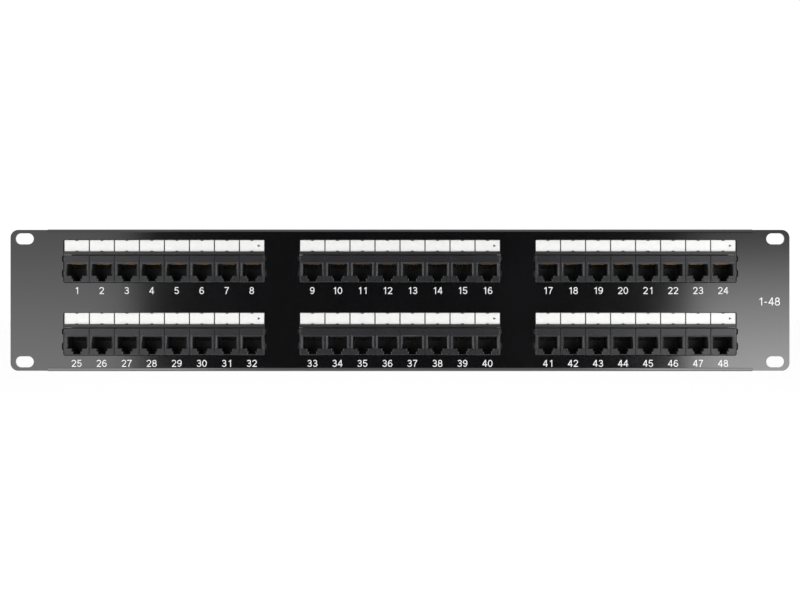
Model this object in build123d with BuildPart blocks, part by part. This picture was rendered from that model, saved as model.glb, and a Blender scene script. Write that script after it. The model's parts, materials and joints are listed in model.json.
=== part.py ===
from build123d import *
import os

# Rack patch panel: 19-inch wide, two rack units high, 48 modular sockets in two rows
# of three ganged modules of eight. Millimetres.
# +X runs along the panel to the right as seen from the front, +Z is up and the front
# faces -Y. The origin is the centre of the mounting plane, which is the rear face of
# the steel sheet, so everything behind the sheet has y > 0.

# ---------------------------------------------------------------- steel panel
PANEL_W = 482.6            # over the ears, the 19-inch rack standard
PANEL_H = 88.1             # two rack units less the usual clearance
EAR_H = 87.3               # the flat ears stop just inside the bends
SHEET_T = 1.5              # sheet thickness
BEND_R = 2.25              # outer radius of both bends
FLANGE_HALF_L = 218.5      # half the length of each return flange
FLANGE_D = 13.0            # how far the flanges return behind the mounting plane
CORNER_R = 4.8             # outer corners of the ears
SLOT_SPACING_X = 465.1     # rack screw spacing across
SLOT_SPACING_Z = 76.2      # and up
SLOT_L, SLOT_H = 11.3, 6.8 # obround rack slots

# ---------------------------------------------------------------- modules
PORTS = 8                  # sockets in one module
PORT_P = 15.5              # socket pitch
MODULE_P = 146.0           # module pitch along the panel
ROW_P = 45.1               # from the upper row down to the lower row
COLUMNS = (-MODULE_P, 0.0, MODULE_P)

# heights below belong to the upper row; the lower row is ROW_P further down
FACE_TOP = 27.75           # top of the socket face
FACE_H = 16.4
FACE_BOT = FACE_TOP - FACE_H
FACE_HALF_W = PORTS * PORT_P / 2          # 62.0
CUT_GAP = 0.55             # gap round the face
CUT_TOP = 37.75            # the one cut-out holds the label tray and the sockets
CUT_R = 1.2
LOBE_D = 0.9               # clearance lobes for the snap tabs at each end
LOBES = ((25.7, 3.6), (16.6, 4.6))        # (height of the centre, length)

# ---------------------------------------------------------------- socket housing
FACE_Y = -2.0              # socket face, 0.5 proud of the sheet
BODY_D = 16.0              # rear of the housing, against the board
SEAM = 0.12                # seam between neighbouring sockets
MOUTH_W, MOUTH_H = 11.7, 7.3
ROOF_BAND = 5.3            # face above the mouth
MOUTH_TOP = FACE_TOP - ROOF_BAND
MOUTH_BOT = MOUTH_TOP - MOUTH_H
STEP_H = 1.75              # the two steps of the latch recess
STEP1_W, STEP2_W = 6.5, 4.5
MOUTH_CH = 1.0             # lead-in chamfer of the mouth
CAVITY_D = 14.4            # rear wall of the cavity
POCKET_W = 11.3            # pocket over the cavity for the contact comb
POCKET_TOP = 26.3
POCKET_Y = 1.4             # rear of the front wall
TAB_GAP = 0.45             # gap between a lobe and the snap tab in it
TAB_Y = -0.5               # the tabs stay below the front of the sheet
SHOULDER = 2.6             # shoulder behind the sheet at each end
LIP_TOP = 28.1             # lips behind the sheet, over and under the end sockets
LIP_BOT = 10.2
POST_R = 1.5               # staked posts that hold the board
POST_HEAD_R = 2.2
POST_Z = 18.0

# ---------------------------------------------------------------- contacts
WIRE_P = 1.02              # pitch of the eight spring wires
WIRE_W, WIRE_T = 0.36, 0.30
WIRE_Z = 25.85             # straight leg over the comb
COMB_W = 11.0
COMB_Y0, COMB_Y1 = 4.0, 15.6
COMB_Z0, COMB_Z1 = 22.7, 26.15

# ---------------------------------------------------------------- label and tray
LABEL_W = 123.6
LABEL_TOP, LABEL_BOT = 37.25, 30.35
LABEL_T = 0.5
LABEL_Y = -1.2             # front of the label, just inside the sheet
NIB_W, NIB_H = 1.4, 0.32   # the tray's retaining nibs
NIB_CLEAR = 0.12
TRAY_HALF_W = 62.2
TRAY_TOP = 37.65
RAIL_BOT = 29.0            # lower rail, 1.3 high
TRAY_BOT = 28.2
RAIL_Y = -1.8

# ---------------------------------------------------------------- rear of a module
BOARD_W, BOARD_H, BOARD_T = 123.0, 36.0, 1.6
BOARD_Z = 22.5
BOARD_Y = 16.05
IDC_P = 3.81               # punch-down slot pitch
IDC_BLOCK_L = 30.3
IDC_BLOCK_P = 30.5
IDC_H = 8.0
IDC_ROW = 11.0             # the two block rows above and below the board's centre
IDC_Y0 = BOARD_Y + BOARD_T + 0.05
IDC_BASE = 6.0
IDC_TALL, IDC_SHORT = 14.3, 12.3
IDC_SLOT_W = 0.9
BLADE_W, BLADE_T = 2.4, 0.5
BLADE_TOP = 11.2

port_x = [(i - (PORTS - 1) / 2) * PORT_P for i in range(PORTS)]
modules = [(x, z) for z in (0.0, -ROW_P) for x in COLUMNS]

os.makedirs("parts", exist_ok=True)

# ================================================================ front panel
with BuildPart() as front_panel:
    # C-shaped section with both return flanges, in the YZ plane
    with BuildSketch(Plane.YZ.offset(-FLANGE_HALF_L)):
        with BuildLine():
            half = PANEL_H / 2
            inner_r = BEND_R - SHEET_T
            FilletPolyline(
                (FLANGE_D, half),
                (-SHEET_T, half),
                (-SHEET_T, -half),
                (FLANGE_D, -half),
                radius=BEND_R,
            )
            Line((FLANGE_D, -half), (FLANGE_D, -half + SHEET_T))
            FilletPolyline(
                (FLANGE_D, -half + SHEET_T),
                (0, -half + SHEET_T),
                (0, half - SHEET_T),
                (FLANGE_D, half - SHEET_T),
                radius=inner_r,
            )
            Line((FLANGE_D, half - SHEET_T), (FLANGE_D, half))
        make_face()
    extrude(amount=2 * FLANGE_HALF_L)
    # flat ears
    ear_w = PANEL_W / 2 - FLANGE_HALF_L
    with BuildSketch(Plane.XZ):
        with Locations(
            (FLANGE_HALF_L + ear_w / 2, 0), (-FLANGE_HALF_L - ear_w / 2, 0)
        ):
            Rectangle(ear_w, EAR_H)
    extrude(amount=SHEET_T)
    fillet(
        front_panel.edges()
        .filter_by(Axis.Y)
        .filter_by(lambda e: abs(e.center().X) > PANEL_W / 2 - 0.01),
        radius=CORNER_R,
    )
    # rack slots
    with BuildSketch(Plane.XZ):
        with GridLocations(SLOT_SPACING_X, SLOT_SPACING_Z, 2, 2):
            SlotOverall(SLOT_L, SLOT_H)
    extrude(amount=SHEET_T, mode=Mode.SUBTRACT)
    # one cut-out for each module: label window, socket window and end lobes
    cut_bot = FACE_BOT - CUT_GAP
    cut_half_w = FACE_HALF_W + CUT_GAP
    with BuildSketch(Plane.XZ) as cut_outs:
        for mx, mz in modules:
            with Locations((mx, mz + (CUT_TOP + cut_bot) / 2)):
                RectangleRounded(2 * cut_half_w, CUT_TOP - cut_bot, CUT_R)
            for lz, lh in LOBES:
                with Locations((mx, mz + lz)):
                    RectangleRounded(2 * (cut_half_w + LOBE_D), lh, LOBE_D * 0.95)
    extrude(amount=SHEET_T, mode=Mode.SUBTRACT)
front_panel.part.label = "front_panel"
export_step(front_panel.part, "parts/front_panel.step", write_pcurves=False)

# ================================================================ label tray
with BuildPart() as tray:
    # floor inside the window, with a flange behind the sheet
    with BuildSketch(Plane.XZ.offset(-0.06)):
        with Locations((0, (TRAY_TOP + TRAY_BOT) / 2)):
            Rectangle(2 * TRAY_HALF_W, TRAY_TOP - TRAY_BOT)
    extrude(amount=0.7)
    fillet(
        tray.edges().filter_by(Axis.Y).group_by(Axis.Z)[-1],
        radius=CUT_R,
    )
    with BuildSketch(Plane.XZ.offset(-0.9)):
        with Locations((0, (40.0 + TRAY_BOT) / 2)):
            Rectangle(2 * TRAY_HALF_W + 3.6, 40.0 - TRAY_BOT)
    extrude(amount=0.84)
    # rails over and under the label, proud of it
    with BuildSketch(Plane.XZ.offset(0.6)):
        with Locations((0, (LABEL_BOT - 0.05 + RAIL_BOT) / 2)):
            Rectangle(2 * TRAY_HALF_W, LABEL_BOT - 0.05 - RAIL_BOT)
    extrude(amount=-RAIL_Y - 0.6)
    with BuildSketch(Plane.XZ.offset(0.6)):
        with Locations((0, (TRAY_TOP + LABEL_TOP + 0.05) / 2)):
            Rectangle(2 * (TRAY_HALF_W - CUT_R), TRAY_TOP - LABEL_TOP - 0.05)
    extrude(amount=0.9)
    fillet(
        tray.edges()
        .filter_by(Axis.X)
        .filter_by(lambda e: e.center().Y < RAIL_Y + 0.01),
        radius=0.3,
    )
    # nibs that hold the label down, one pair at each socket
    with BuildSketch(Plane.XZ.offset(0.6)):
        for x in port_x:
            with Locations((x, LABEL_TOP - NIB_H / 2 + 0.05)):
                Rectangle(NIB_W, NIB_H + 0.1)
            with Locations((x, LABEL_BOT + NIB_H / 2 - 0.05)):
                Rectangle(NIB_W, NIB_H + 0.1)
    extrude(amount=0.9)

# ================================================================ label strip
with BuildPart() as label:
    with BuildSketch(Plane.XZ.offset(-LABEL_Y - LABEL_T)):
        with Locations((0, (LABEL_TOP + LABEL_BOT) / 2)):
            Rectangle(LABEL_W, LABEL_TOP - LABEL_BOT)
        for x in port_x:
            with Locations((x, LABEL_TOP), (x, LABEL_BOT)):
                Rectangle(
                    NIB_W + 2 * NIB_CLEAR, 2 * (NIB_H + NIB_CLEAR), mode=Mode.SUBTRACT
                )
    extrude(amount=LABEL_T)

# ================================================================ socket housing
with BuildPart() as socket:
    # one socket, 8P8C, centred on its own axis
    with BuildSketch(Plane.XZ.offset(-BODY_D)):
        with Locations((0, (FACE_TOP + FACE_BOT) / 2)):
            Rectangle(PORT_P - SEAM, FACE_H)
    extrude(amount=BODY_D - FACE_Y)
    chamfer(socket.edges().group_by(Axis.Y)[0], length=0.25)
    # plug cavity
    with BuildSketch(Plane.XZ.offset(-CAVITY_D)):
        with Locations((0, (MOUTH_TOP + MOUTH_BOT) / 2)):
            Rectangle(MOUTH_W, MOUTH_H)
    extrude(amount=CAVITY_D - FACE_Y, mode=Mode.SUBTRACT)
    chamfer(
        socket.edges()
        .filter_by(lambda e: abs(e.center().Y - FACE_Y) < 0.01)
        .filter_by(
            lambda e: abs(e.center().X) < MOUTH_W / 2 + 0.01
            and MOUTH_BOT + 0.01 < e.center().Z < MOUTH_TOP + 0.01
        ),
        length=MOUTH_CH,
    )
    # stepped latch recess under the cavity
    with BuildSketch(Plane.XZ.offset(-CAVITY_D)):
        with Locations((0, MOUTH_BOT - STEP_H / 2)):
            Rectangle(STEP1_W, STEP_H)
        with Locations((0, MOUTH_BOT - 3 * STEP_H / 2)):
            Rectangle(STEP2_W, STEP_H)
    extrude(amount=CAVITY_D - FACE_Y, mode=Mode.SUBTRACT)
    chamfer(
        socket.edges()
        .filter_by(Axis.Z)
        .filter_by(
            lambda e: abs(e.center().Y - FACE_Y) < 0.01
            and abs(e.center().X) < STEP1_W / 2 + 0.01
            and e.center().Z < MOUTH_BOT
        ),
        length=0.4,
    )
    # pocket for the comb, open to the cavity and to the rear
    with BuildSketch(Plane.XZ.offset(-BODY_D)):
        with Locations((0, (POCKET_TOP + MOUTH_TOP) / 2)):
            Rectangle(POCKET_W, POCKET_TOP - MOUTH_TOP)
    extrude(amount=BODY_D - POCKET_Y, mode=Mode.SUBTRACT)

with BuildPart() as end_socket:
    # the right-hand end socket also carries two snap tabs, the shoulder and a post
    add(socket.part)
    end_x = PORT_P / 2 - SEAM / 2
    with BuildSketch(Plane.XZ.offset(-6.0)):
        tab_w = CUT_GAP + LOBE_D - TAB_GAP
        for lz, lh in LOBES:
            with Locations((end_x + tab_w / 2 - 0.1, lz)):
                Rectangle(tab_w + 0.2, lh - 2 * TAB_GAP)
    extrude(amount=6.0 - TAB_Y)
    fillet(
        end_socket.edges()
        .filter_by(Axis.Y)
        .filter_by(lambda e: e.center().X > end_x + tab_w - 0.01),
        radius=0.5,
    )
    with BuildSketch(Plane.XZ.offset(-2.2)):
        with Locations((end_x + SHOULDER / 2 - 0.1, (LIP_TOP + LIP_BOT) / 2)):
            Rectangle(SHOULDER + 0.2, LIP_TOP - LIP_BOT)
        with Locations((0, (LIP_TOP + FACE_TOP - 0.3) / 2)):
            Rectangle(2 * end_x, LIP_TOP - FACE_TOP + 0.3)
        with Locations((0, (LIP_BOT + FACE_BOT + 0.3) / 2)):
            Rectangle(2 * end_x, FACE_BOT + 0.3 - LIP_BOT)
    extrude(amount=2.1)
    with BuildSketch(Plane.XZ.offset(-BODY_D + 0.2)):
        with Locations((0, POST_Z)):
            Circle(POST_R)
    extrude(amount=-(BOARD_Y + BOARD_T + 0.85 - BODY_D + 0.2))
    with BuildSketch(Plane.XZ.offset(-(BOARD_Y + BOARD_T + 0.05))):
        with Locations((0, POST_Z)):
            Circle(POST_HEAD_R)
    extrude(amount=-0.8, taper=20)

with BuildPart() as housing:
    with Locations(*[(x, 0, 0) for x in port_x[1:-1]]):
        add(socket.part)
    with Locations((port_x[-1], 0, 0)):
        add(end_socket.part)
    mirror(
        Pos(port_x[-1], 0, 0) * end_socket.part, about=Plane.YZ
    )

# ================================================================ contact comb
with BuildPart() as comb:
    with BuildSketch(Plane.XZ.offset(-COMB_Y1)):
        with Locations((0, (COMB_Z0 + COMB_Z1) / 2)):
            Rectangle(COMB_W, COMB_Z1 - COMB_Z0)
    extrude(amount=COMB_Y1 - COMB_Y0)
    chamfer(comb.edges().filter_by(Axis.Z), length=0.4)
    # grooves in its top for the straight legs of the wires
    with BuildSketch(Plane.XZ.offset(-COMB_Y1)):
        with Locations((0, COMB_Z1 - 0.25)):
            with GridLocations(WIRE_P, 1, PORTS, 1):
                Rectangle(WIRE_W + 0.1, 0.5 + 0.02)
    extrude(amount=COMB_Y1 - COMB_Y0, mode=Mode.SUBTRACT)

with BuildPart() as combs:
    with Locations(*[(x, 0, 0) for x in port_x]):
        add(comb.part)

# ================================================================ contact wires
with BuildPart() as wire:
    # bent spring: straight leg to the board, turn at the front, slope into the cavity
    t = WIRE_T / 2
    with BuildSketch(Plane.YZ.offset(-WIRE_W / 2)):
        with BuildLine():
            mid = FilletPolyline(
                (BOARD_Y - 0.02, WIRE_Z),
                (3.1, WIRE_Z),
                (3.1, 22.35),
                (10.0, 19.75),
                (11.1, 20.15),
                radius=0.45,
            )
            offset(amount=t, side=Side.LEFT, closed=True)
        make_face()
    extrude(amount=WIRE_W)

with BuildPart() as wires:
    with Locations(
        *[
            (x + (k - 3.5) * WIRE_P, 0, 0)
            for x in port_x
            for k in range(8)
        ]
    ):
        add(wire.part)

# ================================================================ circuit board
with BuildPart() as board:
    with BuildSketch(Plane.XZ.offset(-BOARD_Y - BOARD_T)):
        with Locations((0, BOARD_Z)):
            RectangleRounded(BOARD_W, BOARD_H, 1.0)
        with Locations((port_x[0], POST_Z), (port_x[-1], POST_Z)):
            Circle(POST_R + 0.1, mode=Mode.SUBTRACT)
    extrude(amount=BOARD_T)

# ================================================================ punch-down blocks
slot_x = [(k - 3.5) * IDC_P for k in range(8)]
with BuildPart() as idc_block:
    # teeth profile in plan, extruded through the block's height
    points = [(-IDC_BLOCK_L / 2, IDC_Y0)]
    edges_x = [-IDC_BLOCK_L / 2] + slot_x + [IDC_BLOCK_L / 2]
    for k in range(9):
        x0 = edges_x[k] + (IDC_SLOT_W / 2 if k else 0)
        x1 = edges_x[k + 1] - (IDC_SLOT_W / 2 if k < 8 else 0)
        top = IDC_TALL if k % 2 == 0 else IDC_SHORT
        mid_x = (x0 + x1) / 2
        flat = 0.35
        if k == 0:
            points += [(x0, IDC_Y0 + top - 1.2), (x1 - flat, IDC_Y0 + top)]
            points += [(x1, IDC_Y0 + top - 0.6)]
        elif k == 8:
            points += [(x0, IDC_Y0 + top - 0.6), (x0 + flat, IDC_Y0 + top)]
            points += [(x1, IDC_Y0 + top - 1.2)]
        else:
            points += [
                (x0, IDC_Y0 + top - 1.8),
                (mid_x - flat, IDC_Y0 + top),
                (mid_x + flat, IDC_Y0 + top),
                (x1, IDC_Y0 + top - 1.8),
            ]
        if k < 8:
            points += [(x1, IDC_Y0 + IDC_BASE), (x1 + IDC_SLOT_W, IDC_Y0 + IDC_BASE)]
    points += [(IDC_BLOCK_L / 2, IDC_Y0)]
    with BuildSketch(Plane.XY.offset(BOARD_Z - IDC_H / 2)):
        with BuildLine():
            Polyline(*points, close=True)
        make_face()
    extrude(amount=IDC_H)
    # blade pockets, open to the board
    with BuildSketch(Plane.XZ.offset(-IDC_Y0)):
        with Locations((0, BOARD_Z)):
            with GridLocations(IDC_P, 1, 8, 1):
                Rectangle(BLADE_W + 0.1, BLADE_T + 0.1)
    extrude(amount=-(BLADE_TOP + 0.2), mode=Mode.SUBTRACT)

block_at = [
    ((i - 1.5) * IDC_BLOCK_P, 0, dz) for dz in (IDC_ROW, -IDC_ROW) for i in range(4)
]
with BuildPart() as idc_blocks:
    with Locations(*block_at):
        add(idc_block.part)

with BuildPart() as blade:
    # split blade that cuts into the wire's insulation
    w, y0, y1 = BLADE_W / 2, IDC_Y0 + 0.02, IDC_Y0 + BLADE_TOP
    with BuildSketch(Plane.XY.offset(BOARD_Z - BLADE_T / 2)):
        with BuildLine():
            Polyline(
                (-w, y0), (-w, y1), (-0.55, y1), (-0.15, y1 - 0.8),
                (-0.15, y1 - 5.0), (0.15, y1 - 5.0), (0.15, y1 - 0.8),
                (0.55, y1), (w, y1), (w, y0), close=True,
            )
        make_face()
    extrude(amount=BLADE_T)

with BuildPart() as blades:
    with Locations(
        *[(bx + sx, 0, bz) for bx, _, bz in block_at for sx in slot_x]
    ):
        add(blade.part)

# ================================================================ six modules
for n, (mx, mz) in enumerate(modules, start=1):
    with BuildPart() as label_holder:
        with Locations((mx, 0, mz)):
            add(tray.part)
    label_holder.part.label = f"label_holder_{n}"
    export_step(label_holder.part, f"parts/label_holder_{n}.step", write_pcurves=False)

    with BuildPart() as label_strip:
        with Locations((mx, 0, mz)):
            add(label.part)
    label_strip.part.label = f"label_strip_{n}"
    export_step(label_strip.part, f"parts/label_strip_{n}.step", write_pcurves=False)

    with BuildPart() as jack_housing:
        with Locations((mx, 0, mz)):
            add(housing.part)
    jack_housing.part.label = f"jack_housing_{n}"
    export_step(jack_housing.part, f"parts/jack_housing_{n}.step", write_pcurves=False)

    with BuildPart() as contact_comb:
        with Locations((mx, 0, mz)):
            add(combs.part)
    contact_comb.part.label = f"contact_comb_{n}"
    export_step(contact_comb.part, f"parts/contact_comb_{n}.step", write_pcurves=False)

    with BuildPart() as contact_wires:
        with Locations((mx, 0, mz)):
            add(wires.part)
    contact_wires.part.label = f"contact_wires_{n}"
    export_step(contact_wires.part, f"parts/contact_wires_{n}.step", write_pcurves=False)

    with BuildPart() as circuit_board:
        with Locations((mx, 0, mz)):
            add(board.part)
    circuit_board.part.label = f"circuit_board_{n}"
    export_step(circuit_board.part, f"parts/circuit_board_{n}.step", write_pcurves=False)

    with BuildPart() as punch_down_block:
        with Locations((mx, 0, mz)):
            add(idc_blocks.part)
    punch_down_block.part.label = f"punch_down_block_{n}"
    export_step(punch_down_block.part, f"parts/punch_down_block_{n}.step", write_pcurves=False)

    with BuildPart() as punch_down_blades:
        with Locations((mx, 0, mz)):
            add(blades.part)
    punch_down_blades.part.label = f"punch_down_blades_{n}"
    export_step(punch_down_blades.part, f"parts/punch_down_blades_{n}.step", write_pcurves=False)
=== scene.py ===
import json
import math

import bmesh
import bpy
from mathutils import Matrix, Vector
from mathutils.geometry import delaunay_2d_cdt


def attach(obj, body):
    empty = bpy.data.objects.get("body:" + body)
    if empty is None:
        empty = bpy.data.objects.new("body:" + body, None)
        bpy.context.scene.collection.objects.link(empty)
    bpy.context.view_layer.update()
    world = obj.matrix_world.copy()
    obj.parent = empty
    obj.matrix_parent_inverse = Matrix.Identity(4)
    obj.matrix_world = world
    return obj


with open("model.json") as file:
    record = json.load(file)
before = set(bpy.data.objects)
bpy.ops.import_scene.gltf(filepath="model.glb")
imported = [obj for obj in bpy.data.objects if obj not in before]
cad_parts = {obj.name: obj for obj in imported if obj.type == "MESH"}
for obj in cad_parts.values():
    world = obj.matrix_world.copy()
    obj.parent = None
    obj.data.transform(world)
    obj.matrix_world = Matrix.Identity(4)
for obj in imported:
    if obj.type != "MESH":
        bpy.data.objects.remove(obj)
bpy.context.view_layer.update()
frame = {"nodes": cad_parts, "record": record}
nodes = frame["nodes"]
MM = 0.001

# the same driving sizes as the CAD model, in millimetres
PORTS, PORT_P, MODULE_P, ROW_P = 8, 15.5, 146.0, 45.1
COLUMNS = (-MODULE_P, 0.0, MODULE_P)
MODULES = [(x, z) for z in (0.0, -ROW_P) for x in COLUMNS]
PORT_X = [(i - (PORTS - 1) / 2) * PORT_P for i in range(PORTS)]
FRONT_Y = -1.5
LABEL_Y = -1.2
LABEL_TOP, LABEL_BOT, LABEL_W = 37.25, 30.35, 123.6
BOARD_BACK = 17.65
WIRE_P, WIRE_Z = 1.02, 25.85
IDC_P, IDC_BLOCK_P, IDC_ROW, BOARD_Z = 3.81, 30.5, 11.0, 22.5
POST_Z = 18.0


# ------------------------------------------------------------------ camera
scene = bpy.context.scene
scene.view_settings.view_transform = "Standard"
cam_data = bpy.data.cameras.new("camera")
cam = bpy.data.objects.new("camera", cam_data)
scene.collection.objects.link(cam)
CAM_D = 0.8715
cam_data.sensor_width = 36.0
cam_data.lens = 36.0 * 0.870 / 0.4956
cam.location = (0.0, -CAM_D, 0.0002)
cam.rotation_euler = (math.radians(90), 0, 0)
cam_data.clip_start, cam_data.clip_end = 0.01, 100
scene.camera = cam


# ------------------------------------------------------------------ materials
def new_material(name):
    m = bpy.data.materials.new(name)
    m.use_nodes = True
    nt = m.node_tree
    bsdf = nt.nodes.get("Principled BSDF")
    return m, nt, bsdf


def node(nt, kind, **inputs):
    n = nt.nodes.new(kind)
    for key, value in inputs.items():
        n.inputs[key.replace("_", " ")].default_value = value
    return n


def coords(nt):
    return nt.nodes.new("ShaderNodeTexCoord").outputs["Object"]


def noise(nt, vector, scale, detail=3.0, rough=0.5):
    n = nt.nodes.new("ShaderNodeTexNoise")
    n.inputs["Scale"].default_value = scale
    n.inputs["Detail"].default_value = detail
    n.inputs["Roughness"].default_value = rough
    nt.links.new(vector, n.inputs["Vector"])
    return n.outputs["Fac"]


def ramp(nt, fac, stops):
    r = nt.nodes.new("ShaderNodeValToRGB")
    e = r.color_ramp.elements
    while len(e) < len(stops):
        e.new(0.5)
    for el, (pos, col) in zip(e, stops):
        el.position = pos
        el.color = (*col, 1.0) if len(col) == 3 else col
    nt.links.new(fac, r.inputs["Fac"])
    return r.outputs["Color"]


def remap(nt, value, lo, hi, out_lo, out_hi):
    r = nt.nodes.new("ShaderNodeMapRange")
    r.inputs["From Min"].default_value = lo
    r.inputs["From Max"].default_value = hi
    r.inputs["To Min"].default_value = out_lo
    r.inputs["To Max"].default_value = out_hi
    nt.links.new(value, r.inputs["Value"])
    return r.outputs["Result"]


def bump(nt, bsdf, height, strength, distance, previous=None):
    b = nt.nodes.new("ShaderNodeBump")
    b.inputs["Strength"].default_value = strength
    b.inputs["Distance"].default_value = distance
    nt.links.new(height, b.inputs["Height"])
    if previous is not None:
        nt.links.new(previous, b.inputs["Normal"])
    if bsdf is not None:
        nt.links.new(b.outputs["Normal"], bsdf.inputs["Normal"])
    return b.outputs["Normal"]


def panel_paint():
    """Black semi-gloss stoving paint: fine orange peel and faint smears."""
    m, nt, bsdf = new_material("panel_paint")
    v = coords(nt)
    peel = noise(nt, v, 900.0, 2.0)
    grain = noise(nt, v, 3200.0, 2.0)
    smear = noise(nt, v, 22.0, 4.0, 0.6)
    col = ramp(nt, smear, [(0.3, (0.0011, 0.0011, 0.0014)), (0.7, (0.0016, 0.0016, 0.0020))])
    nt.links.new(col, bsdf.inputs["Base Color"])
    nt.links.new(remap(nt, smear, 0.3, 0.7, 0.105, 0.135), bsdf.inputs["Roughness"])
    first = bump(nt, None, peel, 0.05, 0.00004)
    bump(nt, bsdf, grain, 0.05, 0.00001, first)
    bsdf.inputs["Specular IOR Level"].default_value = 0.75
    return m


def moulded(name, dark, light, rough_lo, rough_hi, scale=1500.0, strength=0.12, matt_behind=None):
    """Moulded plastic: spark-eroded grain, slight colour and gloss variation, flow marks.
    Behind the depth matt_behind (two values of y) the mould's finish is left matt."""
    m, nt, bsdf = new_material(name)
    v = coords(nt)
    grain = noise(nt, v, scale, 3.0, 0.6)
    flow = noise(nt, v, 60.0, 3.0, 0.5)
    nt.links.new(ramp(nt, flow, [(0.3, dark), (0.7, light)]), bsdf.inputs["Base Color"])
    rough = remap(nt, grain, 0.3, 0.7, rough_lo, rough_hi)
    if matt_behind:
        sep = nt.nodes.new("ShaderNodeSeparateXYZ")
        nt.links.new(v, sep.inputs["Vector"])
        add = nt.nodes.new("ShaderNodeMath")
        add.operation = "ADD"
        nt.links.new(rough, add.inputs[0])
        nt.links.new(remap(nt, sep.outputs["Y"], matt_behind[0], matt_behind[1], 0.0, 0.27), add.inputs[1])
        rough = add.outputs[0]
    nt.links.new(rough, bsdf.inputs["Roughness"])
    bump(nt, bsdf, grain, strength, 0.00004)
    return m


def card():
    """White synthetic label card: faint fibres and mottling."""
    m, nt, bsdf = new_material("label_card")
    v = coords(nt)
    mottle = noise(nt, v, 400.0, 4.0, 0.6)
    fibre = noise(nt, v, 2600.0, 2.0)
    nt.links.new(
        ramp(nt, mottle, [(0.3, (0.465, 0.465, 0.455)), (0.7, (0.505, 0.505, 0.496))]),
        bsdf.inputs["Base Color"],
    )
    nt.links.new(remap(nt, fibre, 0.3, 0.7, 0.45, 0.6), bsdf.inputs["Roughness"])
    bump(nt, bsdf, fibre, 0.08, 0.00003)
    return m


def ink(name, a, b):
    """Screen-printed ink with slight density changes."""
    m, nt, bsdf = new_material(name)
    v = coords(nt)
    n = noise(nt, v, 2500.0, 3.0)
    nt.links.new(ramp(nt, n, [(0.3, a), (0.7, b)]), bsdf.inputs["Base Color"])
    nt.links.new(remap(nt, n, 0.3, 0.7, 0.45, 0.6), bsdf.inputs["Roughness"])
    bump(nt, bsdf, n, 0.1, 0.00002)
    return m


def metal(name, a, b, rough_lo, rough_hi, stretch=(1.0, 0.08, 1.0), scale=4000.0):
    """Plated strip: drawn lines along its length and slight tarnish."""
    m, nt, bsdf = new_material(name)
    v = coords(nt)
    mp = nt.nodes.new("ShaderNodeMapping")
    mp.inputs["Scale"].default_value = stretch
    nt.links.new(v, mp.inputs["Vector"])
    lines = noise(nt, mp.outputs["Vector"], scale, 2.0)
    tarnish = noise(nt, v, 300.0, 3.0)
    nt.links.new(ramp(nt, tarnish, [(0.3, a), (0.7, b)]), bsdf.inputs["Base Color"])
    nt.links.new(remap(nt, lines, 0.3, 0.7, rough_lo, rough_hi), bsdf.inputs["Roughness"])
    bsdf.inputs["Metallic"].default_value = 1.0
    bump(nt, bsdf, lines, 0.1, 0.00002)
    return m


def laminate():
    """Green solder mask over a glass-epoxy board, with the weave just showing."""
    m, nt, bsdf = new_material("board_laminate")
    v = coords(nt)
    weave_x = nt.nodes.new("ShaderNodeTexWave")
    weave_x.bands_direction = "X"
    weave_x.inputs["Scale"].default_value = 330.0
    nt.links.new(v, weave_x.inputs["Vector"])
    weave_z = nt.nodes.new("ShaderNodeTexWave")
    weave_z.bands_direction = "Z"
    weave_z.inputs["Scale"].default_value = 330.0
    nt.links.new(v, weave_z.inputs["Vector"])
    mix = nt.nodes.new("ShaderNodeMix")
    mix.data_type = "FLOAT"
    mix.inputs["Factor"].default_value = 0.5
    nt.links.new(weave_x.outputs["Fac"], mix.inputs[2])
    nt.links.new(weave_z.outputs["Fac"], mix.inputs[3])
    tone = noise(nt, v, 90.0, 3.0)
    nt.links.new(
        ramp(nt, tone, [(0.3, (0.010, 0.085, 0.035)), (0.7, (0.016, 0.12, 0.05))]),
        bsdf.inputs["Base Color"],
    )
    nt.links.new(remap(nt, tone, 0.3, 0.7, 0.22, 0.32), bsdf.inputs["Roughness"])
    bump(nt, bsdf, mix.outputs[0], 0.15, 0.00003)
    return m


M = {
    "panel_paint": panel_paint(),
    "label_card": card(),
    "tray_plastic": moulded("tray_plastic", (0.0070, 0.0070, 0.0080), (0.0100, 0.0100, 0.0110), 0.30, 0.38),
    "housing_plastic": moulded("housing_plastic", (0.0060, 0.0060, 0.0076), (0.0088, 0.0088, 0.0104), 0.27, 0.34, matt_behind=(-0.0008, 0.0)),
    "comb_plastic": moulded("comb_plastic", (0.050, 0.034, 0.019), (0.068, 0.046, 0.026), 0.45, 0.55),
    # the contact gold's base colours sit well below plated gold: real gold colour with painted shade for the
    # contacts deep in the jack cavities
    "contact_gold": metal("contact_gold", (0.42, 0.24, 0.085), (0.50, 0.31, 0.12), 0.26, 0.38),
    "board_laminate": laminate(),
    "idc_plastic": moulded("idc_plastic", (0.018, 0.018, 0.019), (0.026, 0.026, 0.027), 0.40, 0.52),
    "blade_metal": metal("blade_metal", (0.60, 0.59, 0.56), (0.70, 0.69, 0.66), 0.22, 0.36),
    "number_ink": ink("number_ink", (0.46, 0.46, 0.46), (0.53, 0.53, 0.53)),
    "label_ink": ink("label_ink", (0.016, 0.016, 0.017), (0.026, 0.026, 0.028)),
    "solder": metal("solder", (0.55, 0.55, 0.56), (0.68, 0.68, 0.69), 0.25, 0.42, (1, 1, 1), 900.0),
}
NODE_MATERIAL = {s["node"]: s["material_slot"] for s in frame["record"]["subparts"]}


def weld_and_bevel(obj, width, segments=2, angle=35.0):
    """Rounds a CAD piece's sharp edges slightly without touching its own mesh."""
    w = obj.modifiers.new("weld", "WELD")
    w.merge_threshold = 0.000002
    b = obj.modifiers.new("soft_edges", "BEVEL")
    b.width = width
    b.segments = segments
    b.limit_method = "ANGLE"
    b.angle_limit = math.radians(angle)
    b.use_clamp_overlap = True
    b.harden_normals = False


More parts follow.
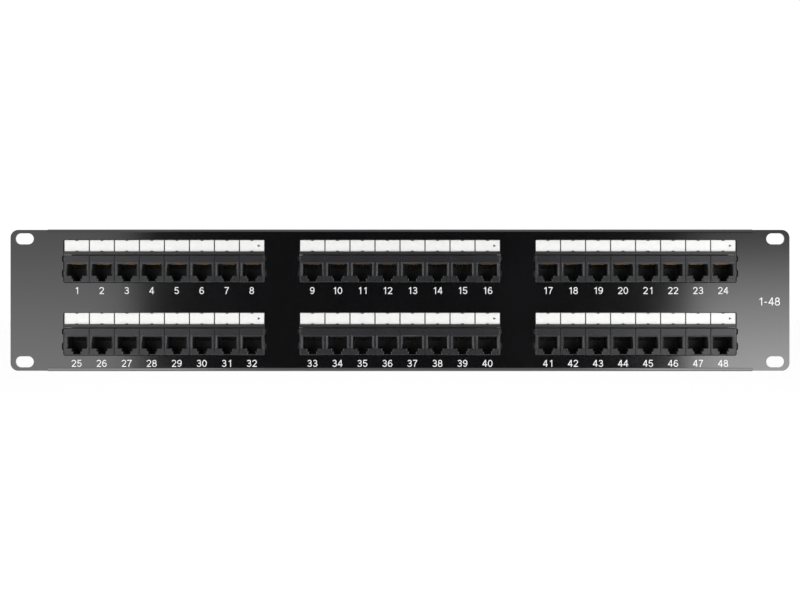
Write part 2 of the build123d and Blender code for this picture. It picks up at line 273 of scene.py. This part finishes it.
for name, obj in nodes.items():
    if name.startswith("jack_housing"):
        weld_and_bevel(obj, 0.00030)
    mat = M[NODE_MATERIAL[name]]
    if not obj.material_slots:
        obj.data.materials.append(mat)
    for s in obj.material_slots:
        s.material = mat


# ------------------------------------------------------------------ flat printed shapes
def link(obj):
    scene.collection.objects.link(obj)
    return obj


def merged(polygons):
    """The union of flat polygons, as (points, triangles), so that no two faces lie in one place."""
    pts, faces = [], []
    for poly in polygons:
        start = len(pts)
        pts += [Vector(p) for p in poly]
        faces.append(list(range(start, start + len(poly))))
    vs, _, tris, _, _, orig = delaunay_2d_cdt(pts, [], faces, 1, 1e-5)
    keep = [t for t, o in zip(tris, orig) if o]
    return [tuple(v) for v in vs], keep


def ribbon(points, width):
    """A run of quads along a centre line with mitred joints; points and width in the same unit."""
    n = len(points)
    left, right = [], []
    for i, p in enumerate(points):
        p = Vector(p)
        if i == 0:
            d = (Vector(points[1]) - p).normalized()
            normal, k = Vector((-d.y, d.x)), 1.0
        elif i == n - 1:
            d = (p - Vector(points[i - 1])).normalized()
            normal, k = Vector((-d.y, d.x)), 1.0
        else:
            a = (p - Vector(points[i - 1])).normalized()
            b = (Vector(points[i + 1]) - p).normalized()
            na, nb = Vector((-a.y, a.x)), Vector((-b.y, b.x))
            normal = (na + nb).normalized()
            k = min(1.0 / max(normal.dot(na), 0.2), 2.2)
        left.append(p + normal * width / 2 * k)
        right.append(p - normal * width / 2 * k)
    return [
        [tuple(left[i]), tuple(right[i]), tuple(right[i + 1]), tuple(left[i + 1])]
        for i in range(n - 1)
    ]


def arc(cx, cy, rx, ry, a0, a1, n=14):
    return [
        (
            cx + rx * math.cos(math.radians(a0 + (a1 - a0) * i / n)),
            cy + ry * math.sin(math.radians(a0 + (a1 - a0) * i / n)),
        )
        for i in range(n + 1)
    ]


# digits one unit high and about 0.66 wide, drawn as centre lines of one stroke width
STROKE = 0.115
H = STROKE / 2
DIGITS = {
    "0": [arc(0.33, 0.5, 0.33 - H, 0.5 - H, 0, 360, 36)],
    "1": [[(0.12, 0.745), (0.36, 0.93)], [(0.375, 0.0), (0.375, 1.0)]],
    "2": [
        arc(0.33, 0.70, 0.33 - H, 0.30 - H, 172, -28, 18)
        + [(0.30, 0.28), (0.09, H)]
        + [],
        [(0.03, H), (0.66, H)],
    ],
    "3": [
        arc(0.33, 0.735, 0.29 - H, 0.265 - H, 160, -90, 18),
        arc(0.33, 0.29, 0.33 - H, 0.29 - H + 0.0, 90, -162, 20),
        [(0.24, 0.535 - 0.022), (0.34, 0.535 - 0.022)],
    ],
    "4": [[(0.485, 0.0), (0.485, 1.0)], [(0.45, 0.955), (0.055, 0.30)], [(0.0, 0.29), (0.68, 0.29)]],
    "5": [
        [(0.60, 1 - H), (0.14, 1 - H)],
        [(0.155, 1.0), (0.09, 0.50)],
        arc(0.325, 0.325, 0.325 - H, 0.325 - H, 138, -162, 22),
    ],
    "6": [
        arc(0.335, 0.315, 0.325 - H, 0.315 - H, 0, 360, 30),
        arc(0.37, 0.42, 0.36 - H, 0.58 - H, 180, 90, 12)
        + arc(0.37, 0.73, 0.25 - H, 0.27 - H, 90, 22, 7)[1:],
    ],
    "7": [[(0.02, 1 - H), (0.62, 1 - H)], [(0.60, 0.945), (0.40, 0.60), (0.27, 0.25), (0.225, 0.0)]],
    "8": [
        arc(0.33, 0.735, 0.28 - H, 0.265 - H, 0, 360, 28),
        arc(0.33, 0.28, 0.33 - H, 0.28 - H + 0.01, 0, 360, 30),
    ],
    "9": [
        arc(0.325, 0.685, 0.325 - H, 0.315 - H, 0, 360, 30),
        arc(0.29, 0.58, 0.36 - H, 0.58 - H, 0, -90, 12)
        + arc(0.29, 0.27, 0.25 - H, 0.27 - H, -90, -158, 7)[1:],
    ],
    "-": [[(0.06, 0.40), (0.40, 0.40)]],
}
ADVANCE = {"1": 0.76, "-": 0.56}
_glyphs = {}


def glyph(ch):
    if ch not in _glyphs:
        polys = []
        for line in DIGITS[ch]:
            polys += ribbon(line, STROKE)
        _glyphs[ch] = merged(polys)
    return _glyphs[ch]


def flat_solid(bm, points, tris, place, y_back, y_front):
    """Adds a thin closed solid: triangles at y_front and y_back and walls round the rim. Front faces -Y."""
    front = [bm.verts.new((*place(p), 0)) for p in points]
    back = [bm.verts.new((*place(p), 0)) for p in points]
    for v, w in zip(front, back):
        x, z, _ = v.co
        v.co = (x, y_front, z)
        w.co = (x, y_back, z)
    edges = {}
    for t in tris:
        a, b, c = (Vector(points[i]) for i in t)
        if (b - a).cross(c - a) < 0:
            t = list(reversed(t))
        bm.faces.new([front[i] for i in t])
        bm.faces.new([back[i] for i in reversed(t)])
        for i in range(3):
            e = (t[i], t[(i + 1) % 3])
            edges[e] = True
    for a, b in list(edges):
        if (b, a) not in edges:
            bm.faces.new([front[a], back[a], back[b], front[b]])
    loose = [v for v in front + back if not v.link_faces]
    for v in loose:
        bm.verts.remove(v)


def finish_mesh(bm, name, mat, body):
    bmesh.ops.recalc_face_normals(bm, faces=bm.faces)
    me = bpy.data.meshes.new(name)
    bm.to_mesh(me)
    bm.free()
    me.materials.append(M[mat])
    obj = link(bpy.data.objects.new(name, me))
    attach(obj, body)
    return obj


def text_width(s, gap=0.0):
    return sum(ADVANCE.get(c, 0.80) for c in s) + gap


def write(bm, s, x, z, height, y_back, y_front):
    """Centres the string at x, z, in millimetres."""
    total = sum(ADVANCE.get(c, 0.80) for c in s)
    at = -total / 2
    for c in s:
        adv = ADVANCE.get(c, 0.80)
        w = {"1": 0.44, "-": 0.46}.get(c, 0.66)
        pts, tris = glyph(c)
        ox = at + (adv - w) / 2

        def place(p, ox=ox):
            return ((x + (ox + p[0]) * height) * MM, (z + (p[1] - 0.5) * height) * MM)

        flat_solid(bm, pts, tris, place, y_back * MM, y_front * MM)
        at += adv


DIGIT_H = 4.3
bm = bmesh.new()
for m, (mx, mz) in enumerate(MODULES):
    for i, px in enumerate(PORT_X):
        write(bm, str(m * 8 + i + 1), mx + px - 0.1, mz + 6.05, DIGIT_H, FRONT_Y + 0.005, FRONT_Y - 0.022)
write(bm, "1-48", 228.6, -0.7, 4.9, FRONT_Y + 0.005, FRONT_Y - 0.022)
finish_mesh(bm, "socket_numbers", "number_ink", "panel")


# ------------------------------------------------------------------ print on the label strips
def bar(bm, x0, x1, z0, z1, y_back, y_front):
    co = [(x0, z0), (x1, z0), (x1, z1), (x0, z1)]
    flat_solid(
        bm, co, [[0, 1, 2], [0, 2, 3]], lambda p: (p[0] * MM, p[1] * MM),
        y_back * MM, y_front * MM,
    )


for n, (mx, mz) in enumerate(MODULES, start=1):
    bm = bmesh.new()
    yb, yf = LABEL_Y + 0.005, LABEL_Y - 0.018
    for i in range(1, PORTS):
        x = mx + (i - PORTS / 2) * PORT_P
        bar(bm, x - 0.38, x + 0.38, mz + LABEL_BOT + 0.02, mz + LABEL_TOP - 0.02, yb, yf)
    # direction mark at the right end
    tip, zc = mx + LABEL_W / 2 - 2.2, mz + (LABEL_TOP + LABEL_BOT) / 2
    flat_solid(
        bm, [(tip - 1.8, zc - 0.85), (tip, zc), (tip - 1.8, zc + 0.85)], [[0, 1, 2]],
        lambda p: (p[0] * MM, p[1] * MM), yb * MM, yf * MM,
    )
    finish_mesh(bm, f"label_print_{n}", "label_ink", f"label_{n}")


# ------------------------------------------------------------------ solder joints on the boards
def dome(bm, x, y, z, r, h, seg=10):
    rings = [(1.0, 0.0), (0.8, 0.35), (0.45, 0.75), (0.22, 1.0)]
    loops = []
    for rr, hh in rings:
        loops.append([
            bm.verts.new((
                (x + r * rr * math.cos(2 * math.pi * k / seg)) * MM,
                (y + h * hh) * MM,
                (z + r * rr * math.sin(2 * math.pi * k / seg)) * MM,
            ))
            for k in range(seg)
        ])
    for a, b in zip(loops, loops[1:]):
        for k in range(seg):
            bm.faces.new([a[k], a[(k + 1) % seg], b[(k + 1) % seg], b[k]])
    bm.faces.new(loops[-1])
    bm.faces.new(list(reversed(loops[0])))


for n, (mx, mz) in enumerate(MODULES, start=1):
    bm = bmesh.new()
    for px in PORT_X:
        for k in range(8):
            x = mx + px + (k - 3.5) * WIRE_P
            z = mz + WIRE_Z - 1.1 + (0.9 if k % 2 else -0.9)
            dome(bm, x, BOARD_BACK - 0.01, z, 0.46, 0.75)
    o = finish_mesh(bm, f"solder_joints_{n}", "solder", "panel")
    for p in o.data.polygons:
        p.use_smooth = True


# ------------------------------------------------------------------ floor and light
def plane(name, size, location, mat):
    bm = bmesh.new()
    s = size / 2
    bm.faces.new([bm.verts.new(c) for c in ((-s, -s, 0), (s, -s, 0), (s, s, 0), (-s, s, 0))])
    me = bpy.data.meshes.new(name)
    bm.to_mesh(me)
    bm.free()
    me.materials.append(mat)
    o = link(bpy.data.objects.new(name, me))
    o.location = location
    return o


fm, fnt, fb = new_material("studio_floor")
fb.inputs["Base Color"].default_value = (0.93, 0.93, 0.93, 1)
fb.inputs["Roughness"].default_value = 0.8
plane("studio_floor", 40.0, (0, 0, -0.30), fm)

world = bpy.data.worlds.new("studio")
world.use_nodes = True
world.node_tree.nodes["Background"].inputs["Color"].default_value = (1, 1, 1, 1)
world.node_tree.nodes["Background"].inputs["Strength"].default_value = 1.05
scene.world = world


def glow(name, low, high, z_low, z_high):
    """A diffusing panel, plain white, whose light changes evenly with height."""
    m = bpy.data.materials.new(name)
    m.use_nodes = True
    nt = m.node_tree
    nt.nodes.clear()
    out = nt.nodes.new("ShaderNodeOutputMaterial")
    em = nt.nodes.new("ShaderNodeEmission")
    sep = nt.nodes.new("ShaderNodeSeparateXYZ")
    nt.links.new(coords(nt), sep.inputs["Vector"])
    nt.links.new(remap(nt, sep.outputs["Y"], z_low, z_high, low, high), em.inputs["Strength"])
    nt.links.new(em.outputs["Emission"], out.inputs["Surface"])
    return m


def screen(name, a, b, z0, z1, mat):
    """An upright panel from a to b in plan, seen by reflections and giving light, but not itself in view."""
    a, b = Vector(a), Vector(b)
    half = (b - a).length / 2
    mid = (a + b) / 2
    bm = bmesh.new()
    co = ((-half, z0), (half, z0), (half, z1), (-half, z1))
    bm.faces.new([bm.verts.new((x, z, 0)) for x, z in co])
    me = bpy.data.meshes.new(name)
    bm.to_mesh(me)
    bm.free()
    me.materials.append(mat)
    o = link(bpy.data.objects.new(name, me))
    d = b - a
    o.rotation_euler = (math.radians(90), 0, math.atan2(d.y, d.x))
    o.location = (mid.x, mid.y, 0)
    o.visible_camera = False
    o.visible_shadow = False
    return o


# two diffusing panels in front, one each side of the lens, and one at each side
screen("softbox_left", (-1.5, -1.15), (-0.28, -1.15), -0.28, 0.9, glow("glow_left", 2.9, 1.2, -0.10, 0.10))
screen("softbox_right", (0.34, -1.15), (1.5, -1.15), -0.28, 0.9, glow("glow_right", 6.2, 0.42, -0.11, 0.10))
screen("side_left", (-1.55, 0.9), (-1.55, -0.14), -0.28, 0.9, glow("glow_side_l", 9.0, 9.0, -0.28, 0.9))
screen("side_right", (1.55, -0.14), (1.55, 0.9), -0.28, 0.9, glow("glow_side_r", 9.0, 9.0, -0.28, 0.9))



def low_screen(name, x0, x1, y0, y1, z, strength):
    """A diffusing panel that lies just over the floor and faces up."""
    bm = bmesh.new()
    bm.faces.new([bm.verts.new(c) for c in ((x0, y0, z), (x1, y0, z), (x1, y1, z), (x0, y1, z))])
    me = bpy.data.meshes.new(name)
    bm.to_mesh(me)
    bm.free()
    me.materials.append(glow(name, strength, strength, 0.0, 1.0))
    o = link(bpy.data.objects.new(name, me))
    o.visible_camera = False
    o.visible_shadow = False


low_screen("low_left", -1.4, -0.17, -0.5, -0.05, -0.27, 4.4)
low_screen("low_right", 0.19, 1.4, -0.5, -0.05, -0.27, 5.2)

# a dark card round the lens, seen only by reflections
cm, cnt, cb = new_material("lens_card")
cb.inputs["Base Color"].default_value = (0.004, 0.004, 0.004, 1)
cb.inputs["Roughness"].default_value = 1.0
card_o = screen("lens_card", (-0.372, -1.1), (0.405, -1.1), -0.29, 0.9, cm)
card_o.visible_diffuse = False
